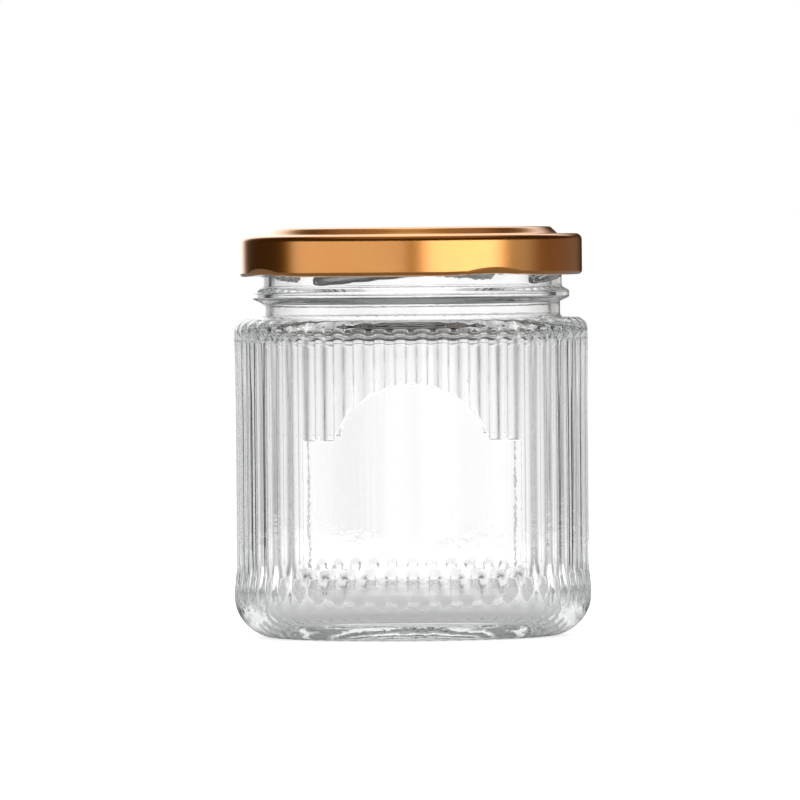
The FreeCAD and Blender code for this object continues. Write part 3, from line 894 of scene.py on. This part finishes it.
@dataclass
class StudioRoom:
    """A white room: soft lamps, a pale floor, and panels that polished surfaces mirror.

    Strengths are of light, with white at 1. A pair of angles, in degrees, is
    where a change of tone starts and ends.
    """

    mirrored: tuple[Panel, ...] = (
        Panel(-87.0, -1.0, -60.0, 12.0, 12.0, 1.0),
        Panel(8.0, 64.0, -60.0, 12.0, 16.0, 2.5),
        Panel(64.0, 90.0, -60.0, 12.0, 20.0, 0.36),
        Panel(75.0, 156.0, -60.0, 12.0, 24.0, 0.17),
    )
    mirrored_dark: float = 0.03
    warm_dark: tuple[float, float, float] = (1.0, 0.58, 0.32)
    mirrored_top: float = 0.25
    mirrored_top_rise: tuple[float, float] = (46.0, 62.0)
    panel_edge: float = 8.0
    backdrop_half: float = 31.0
    backdrop_edge: float = 6.0
    backdrop_top: tuple[float, float] = (86.0, 74.0)
    backdrop_right_rise: tuple[float, float] = (14.0, 34.0)
    backdrop_strength: float = 1.5
    seen_white: float = 1.0
    seen_grey: float = 0.56
    seen_dark: float = 0.02
    seen_top: float = 0.44
    grey_bearing: tuple[float, float] = (17.0, 22.0)
    dark_bearing: tuple[float, float] = (31.0, 38.0)
    seen_top_rise: tuple[float, float] = (18.0, 40.0)
    floor_glow: float = 0.66
    floor_glow_seen: float = 0.38
    # painted shadow: glass sees the floor under the jar in this tone, a little below white
    floor_painted_shadow: float = 0.95
    floor_painted_shadow_reach: tuple[float, float] = (0.042, 0.06)
    floor_mirrored: float = 0.22
    floor_colour: float = 0.80
    floor_radius: float = 0.7
    floor_drop: float = 0.00002
    floor_sides: int = 96
    room_fill: float = 0.80
    lamp_aim: float = 0.04

    def world(self) -> None:
        """Paint the room by direction.

        The eye sees plain white. Mirrored rays see the panels, a bright
        backdrop and warm dark elsewhere. Rays through glass see white square to
        each side, grey and then dark between two sides, and a grey ceiling.
        """
        world = bpy.data.worlds.new("studio_room")
        bpy.context.scene.world = world
        world.use_nodes = True
        graph = Graph(world.node_tree)
        way = graph.signal("ShaderNodeTexCoord", output="Generated")
        split = graph.node("ShaderNodeSeparateXYZ", None, {0: way})
        across, deep, up = (Signal(graph, split.outputs[i]) for i in range(3))
        bearing = across.bearing(deep * -1)
        rise = up.rise()
        mirrored = self.mirrored_dark + rise.smooth(*self.mirrored_top_rise) * self.mirrored_top
        for panel in self.mirrored:
            wide = bearing.window(panel.left, panel.right, panel.soft)
            shown = wide * rise.window(panel.low, panel.high, self.panel_edge)
            mirrored = mirrored + shown * panel.strength
        away = 180 - abs(bearing)
        near, far = self.backdrop_half - self.backdrop_edge, self.backdrop_half + self.backdrop_edge
        backdrop = away.smooth(far, near) * rise.smooth(*self.backdrop_top)
        left = across.smooth(0.1, -0.1)
        backdrop = backdrop * left.larger(rise.smooth(*self.backdrop_right_rise))
        mirrored = mirrored + backdrop * self.backdrop_strength
        through = self._sides(bearing)
        through = through + (self.seen_top - through) * rise.smooth(*self.seen_top_rise)
        eye, mirror, glass = self._rays(graph)
        strength = self.room_fill + (mirrored - self.room_fill) * mirror
        strength = strength + (through - strength) * glass
        strength = strength + (1 - strength) * eye
        warm = mirror * (1 - glass) * strength.smooth(0.5, 0.05)
        colour = graph.blend(warm, (1, 1, 1, 1), rgba(self.warm_dark))
        light = graph.node("ShaderNodeBackground", None, {"Color": colour, "Strength": strength})
        graph.node("ShaderNodeOutputWorld", None, {"Surface": light.outputs[0]})

    def _rays(self, graph: Graph) -> tuple[Signal, Signal, Signal]:
        """Whether a ray comes from the eye, from a mirror, or through glass: 1 where it does."""
        rays = graph.node("ShaderNodeLightPath")
        eye, mirror, glass = (Signal(graph, rays.outputs[name]) for name in (
            "Is Camera Ray", "Is Glossy Ray", "Is Transmission Ray"))
        return eye, mirror, glass

    def _sides(self, bearing: Signal) -> Signal:
        """What glass shows at a bearing: white square to each side, then grey, and dark between."""
        off_axis = 45 - abs(abs(abs(bearing) - 90) - 45)
        to_grey, to_dark = self.seen_white - self.seen_grey, self.seen_grey - self.seen_dark
        tone = self.seen_white - off_axis.smooth(*self.grey_bearing) * to_grey
        return tone - off_axis.smooth(*self.dark_bearing) * to_dark

    def floor(self) -> bpy.types.Object:
        """A round matt floor: white to the eye, dark in mirrors, as the room beyond through glass.

        Near the jar, glass shows it in one tone a little below white, a painted shadow under the
        jar.
        """
        sides = self.floor_sides
        turn = np.arange(sides) * 2 * math.pi / sides
        rim = np.stack([np.cos(turn), np.sin(turn), 0 * turn], axis=1) * self.floor_radius
        points = np.concatenate([[[0.0, 0.0, 0.0]], rim])
        numbers = np.arange(sides)
        faces = np.stack([np.zeros(sides, int), 1 + numbers, 1 + (numbers + 1) % sides], axis=1)
        mesh = bpy.data.meshes.new("studio_floor")
        mesh.from_pydata(points.tolist(), [], faces.tolist())
        made = bpy.data.objects.new("studio_floor", mesh)
        made.location.z = -self.floor_drop
        bpy.context.scene.collection.objects.link(made)
        paint = bpy.data.materials.new("pale_floor")
        paint.use_nodes = True
        graph = Graph(paint.node_tree)
        eye, mirror, glass = self._rays(graph)
        place = graph.place()
        split = graph.node("ShaderNodeSeparateXYZ", None, {0: place})
        across, deep = (Signal(graph, split.outputs[i]) for i in range(2))
        out = graph.signal(
            "ShaderNodeVectorMath", {"operation": "LENGTH"}, {0: place}, output="Value")
        beyond = self._sides(across.bearing(deep * -1))
        # painted shadow under the jar: within the reach, glass sees one tone a little below white
        seen = self.floor_painted_shadow + (beyond - self.floor_painted_shadow) * out.smooth(*self.floor_painted_shadow_reach)
        tone = self.floor_colour + (self.floor_mirrored - self.floor_colour) * mirror
        tone = tone + (seen * self.floor_colour - tone) * glass
        glow = graph.node("ShaderNodeEmission", None, {
            "Strength": eye * self.floor_glow + glass * seen * self.floor_glow_seen})
        matt = graph.node("ShaderNodeBsdfDiffuse", None, {"Color": tone})
        both = graph.node("ShaderNodeAddShader", None, {0: glow.outputs[0], 1: matt.outputs[0]})
        graph.node("ShaderNodeOutputMaterial", None, {"Surface": both.outputs[0]})
        mesh.materials.append(paint)
        return made

    def lamp(self, name: str, place: Vector, size: float, power: float) -> None:
        """A square soft lamp, which nothing mirrors.

        Args:
            name: its object's name.
            place: where it stands, in metres.
            size: its side, in metres.
            power: in watts.
        """
        data = bpy.data.lights.new(name, "AREA")
        data.shape, data.size, data.energy = "SQUARE", size, power
        made = bpy.data.objects.new(name, data)
        made.location = place
        aim = Vector((0, 0, self.lamp_aim)) - place
        made.rotation_euler = aim.to_track_quat("-Z", "Y").to_euler()
        made.visible_camera = made.visible_glossy = made.visible_transmission = False
        bpy.context.scene.collection.objects.link(made)

    def lamps(self) -> None:
        """Two lamps in front and one above."""
        self.lamp("front_right_lamp", Vector((0.75, -0.95, 0.75)), 0.8, 3.2)
        self.lamp("front_left_lamp", Vector((-0.95, -0.75, 0.6)), 0.9, 2.2)
        self.lamp("top_lamp", Vector((0.0, 0.25, 1.3)), 1.1, 3.4)


@dataclass
class Viewpoint:
    """A long lens a little above the cap's edge, turned a touch clockwise."""

    distance: float = 2.5
    height: float = 0.0915
    aim: tuple[float, float] = (-0.0024, 0.050)
    lens: float = 532.0
    sensor: float = 36.0
    roll: float = 0.5

    def build(self) -> bpy.types.Object:
        """Make the camera and give it to the scene."""
        data = bpy.data.cameras.new("studio_camera")
        data.lens, data.sensor_width, data.clip_end = self.lens, self.sensor, 50.0
        made = bpy.data.objects.new("studio_camera", data)
        bpy.context.scene.collection.objects.link(made)
        eye = Vector((self.aim[0], -self.distance, self.height))
        ahead = (Vector((self.aim[0], 0.0, self.aim[1])) - eye).normalized()
        right = ahead.cross(Vector((0, 0, 1))).normalized()
        up = right.cross(ahead)
        turn = math.radians(self.roll)
        up, right = (up * math.cos(turn) + right * math.sin(turn),
                     right * math.cos(turn) - up * math.sin(turn))
        made.matrix_world = Matrix((
            (right.x, up.x, -ahead.x, eye.x), (right.y, up.y, -ahead.y, eye.y),
            (right.z, up.z, -ahead.z, eye.z), (0, 0, 0, 1)))
        bpy.context.scene.camera = made
        return made


def main() -> None:
    """Build the studio and the jar's pieces in order."""
    logging.basicConfig(level=logging.INFO, format="%(name)s: %(message)s")
    bpy.context.scene.view_settings.view_transform = "Standard"
    paths = bpy.context.scene.cycles
    paths.max_bounces = paths.transmission_bounces = paths.glossy_bounces = LIGHT_BOUNCES
    Viewpoint().build()
    room = StudioRoom()
    room.world()
    room.floor()
    room.lamps()
    for part in (RibbedJar(SodaLimeGlass()), LugCap(LacqueredTinplate())):
        piece = part.build()
        LOG.info("built %s", piece.name)
    ring = SealRing(SealingCompound()).dress()
    LOG.info("dressed %s", ring.name)


if __name__ == "__main__":
    main()
